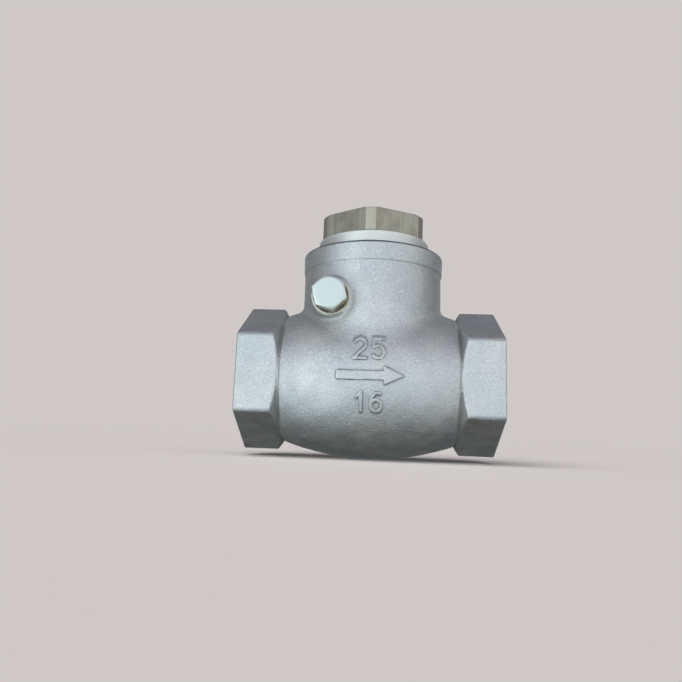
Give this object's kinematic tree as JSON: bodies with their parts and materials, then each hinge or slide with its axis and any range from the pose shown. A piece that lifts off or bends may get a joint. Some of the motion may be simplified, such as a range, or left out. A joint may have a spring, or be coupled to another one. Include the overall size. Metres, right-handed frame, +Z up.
{
  "type": "check valve",
  "caption": "Cast brass swing check valve with hexagonal female pipe ends, a screwed cap on its neck, and a hinged disc that opens one way inside.",
  "frame": {"origin": "on the pipe's axis, where the axis of the neck and cap crosses it", "axes": "+X along the pipe in the flow direction, +Z up the neck towards the cap, so the hinge plug is on the -Y side"},
  "size_m": [0.075, 0.0487, 0.0733],
  "materials": {
    "cast_brass": "sandblasted casting, cool silvery brass",
    "machined_brass": "machined, with fine tool marks",
    "bright_brass": "freshly turned",
    "pin_steel": "ground stainless steel",
    "gasket_fibre": "pressed fibre sheet",
    "seal_rubber": "moulded black rubber"
  },
  "bodies": {
    "valve_body": {"body": "cast_brass", "hinge_pin": "pin_steel"},
    "gasket": {"cap_gasket": "gasket_fibre"},
    "cap": {"cap": "machined_brass"},
    "washer": {"plug_washer": "gasket_fibre"},
    "plug": {"hinge_plug": "bright_brass"},
    "arm": {"hinge_arm": "machined_brass"},
    "disc": {"disc": "machined_brass", "disc_seal": "seal_rubber", "seal_retainer": "machined_brass", "retainer_screw": "pin_steel", "disc_washer": "machined_brass", "disc_nut": "machined_brass"}
  },
  "joints": [
    {"name": "flap_swing", "type": "hinge", "parent": "valve_body", "child": "arm", "pos_m": [-0.0114, 0, 0.0217], "axis": [0, -1, 0], "range_deg": [0, 60]},
    {"name": "disc_spin", "type": "hinge", "parent": "arm", "child": "disc", "pos_m": [-0.00917, 0, 0.00047], "axis": [0.9945, 0, 0.1045], "continuous": true},
    {"name": "cap_lift", "type": "slide", "parent": "valve_body", "child": "gasket", "axis": [0, 0, 1], "range_m": [0, 0.0075]},
    {"name": "cap_turn", "type": "hinge", "parent": "gasket", "child": "cap", "pos_m": [0, 0, 0.0392], "axis": [0, 0, 1], "range_deg": [0, 1801]},
    {"name": "plug_lift", "type": "slide", "parent": "valve_body", "child": "washer", "axis": [0, -1, 0], "range_m": [0, 0.006]},
    {"name": "plug_turn", "type": "hinge", "parent": "washer", "child": "plug", "pos_m": [-0.0114, -0.0211, 0.0217], "axis": [0, -1, 0], "range_deg": [0, 2161]}
  ],
  "couplings": [
    {"joint": "cap_turn", "follows": "cap_lift", "rad_per_m": 4188.8},
    {"joint": "plug_turn", "follows": "plug_lift", "rad_per_m": 6283.2}
  ]
}
